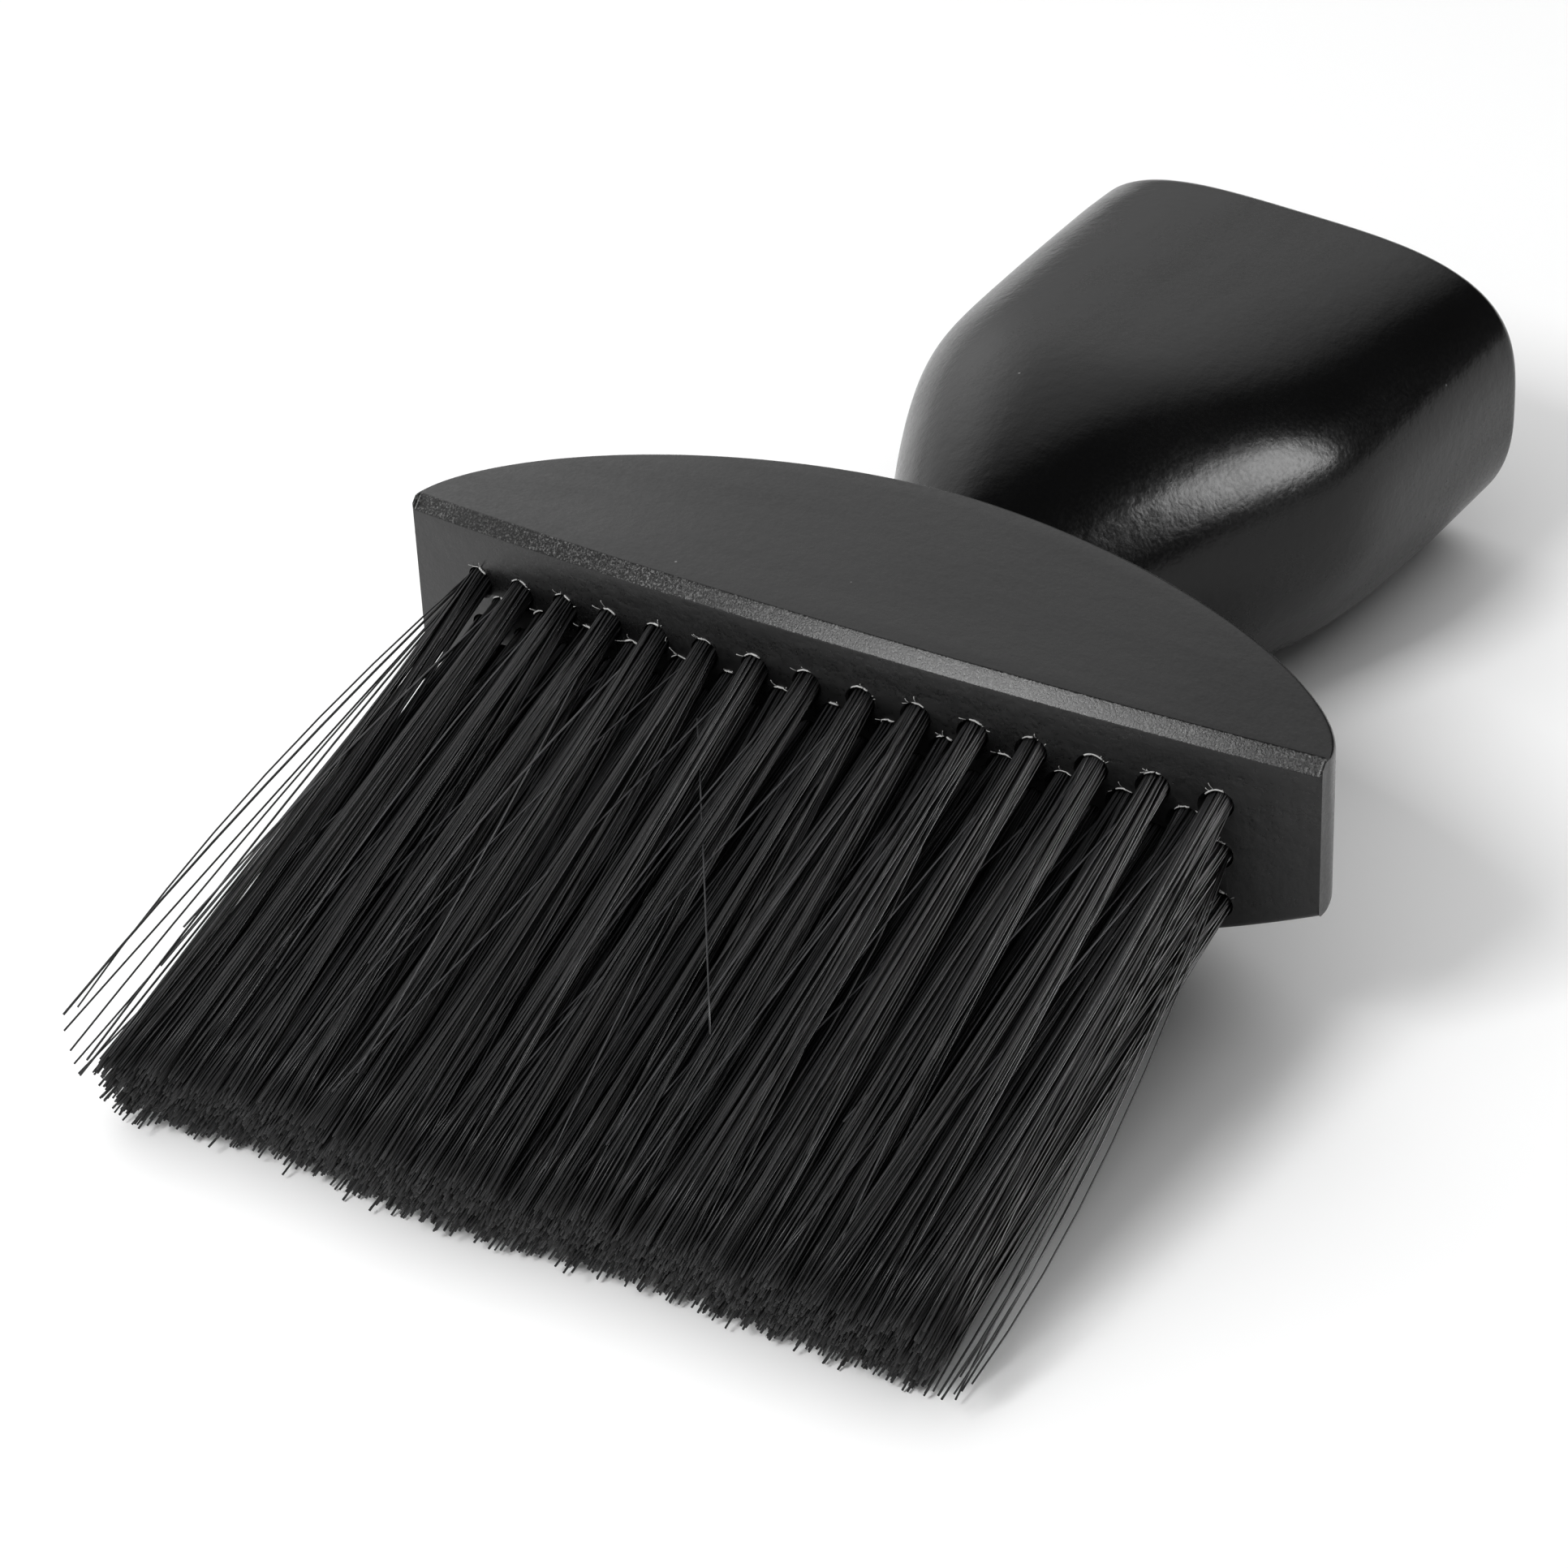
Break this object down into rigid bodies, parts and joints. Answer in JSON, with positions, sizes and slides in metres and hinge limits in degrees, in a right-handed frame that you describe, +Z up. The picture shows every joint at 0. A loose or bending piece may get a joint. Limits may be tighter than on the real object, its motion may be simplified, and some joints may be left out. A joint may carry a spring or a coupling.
{
  "type": "neck duster brush",
  "caption": "Flat neck duster with a bowed black wooden head, staggered rows of long soft bristle tufts and a chunky rounded wooden handle.",
  "frame": {"origin": "centre of the footprint, on the table that the brush lies on", "axes": "+X along the head, +Y from the bristle tips to the butt of the handle, +Z up"},
  "size_m": [0.1064, 0.1626, 0.0394],
  "materials": {
    "black_lacquer": "satin-gloss black lacquer over fine-grained wood",
    "black_bristle": "fine black nylon filament, slightly glossy",
    "beech_dowel": "bare planed beech",
    "anchor_steel": "drawn flat wire"
  },
  "bodies": {
    "root": {"head_block": "black_lacquer", "handle": "black_lacquer", "neck_dowel": "beech_dowel", "tufts_long_01": "black_bristle", "tufts_long_02": "black_bristle", "tufts_long_03": "black_bristle", "tufts_long_04": "black_bristle", "tufts_long_05": "black_bristle", "tufts_long_06": "black_bristle", "tufts_long_07": "black_bristle", "tufts_long_08": "black_bristle", "tufts_long_09": "black_bristle", "tufts_long_10": "black_bristle", "tufts_long_11": "black_bristle", "tufts_long_12": "black_bristle", "tufts_long_13": "black_bristle", "tufts_long_14": "black_bristle", "tufts_long_15": "black_bristle", "tufts_short_01": "black_bristle", "tufts_short_02": "black_bristle", "tufts_short_03": "black_bristle", "tufts_short_04": "black_bristle", "tufts_short_05": "black_bristle", "tufts_short_06": "black_bristle", "tufts_short_07": "black_bristle", "tufts_short_08": "black_bristle", "tufts_short_09": "black_bristle", "tufts_short_10": "black_bristle", "tufts_short_11": "black_bristle", "tufts_short_12": "black_bristle", "tufts_short_13": "black_bristle", "tufts_short_14": "black_bristle", "anchor_row2_01": "anchor_steel", "anchor_row2_02": "anchor_steel", "anchor_row2_03": "anchor_steel", "anchor_row2_04": "anchor_steel", "anchor_row2_05": "anchor_steel", "anchor_row2_06": "anchor_steel", "anchor_row2_07": "anchor_steel", "anchor_row2_08": "anchor_steel", "anchor_row2_09": "anchor_steel", "anchor_row2_10": "anchor_steel", "anchor_row2_11": "anchor_steel", "anchor_row2_12": "anchor_steel", "anchor_row2_13": "anchor_steel", "anchor_row2_14": "anchor_steel", "anchor_row4_01": "anchor_steel", "anchor_row4_02": "anchor_steel", "anchor_row4_03": "anchor_steel", "anchor_row4_04": "anchor_steel", "anchor_row4_05": "anchor_steel", "anchor_row4_06": "anchor_steel", "anchor_row4_07": "anchor_steel", "anchor_row4_08": "anchor_steel", "anchor_row4_09": "anchor_steel", "anchor_row4_10": "anchor_steel", "anchor_row4_11": "anchor_steel", "anchor_row4_12": "anchor_steel", "anchor_row4_13": "anchor_steel", "anchor_row4_14": "anchor_steel"}
  },
  "joints": []
}
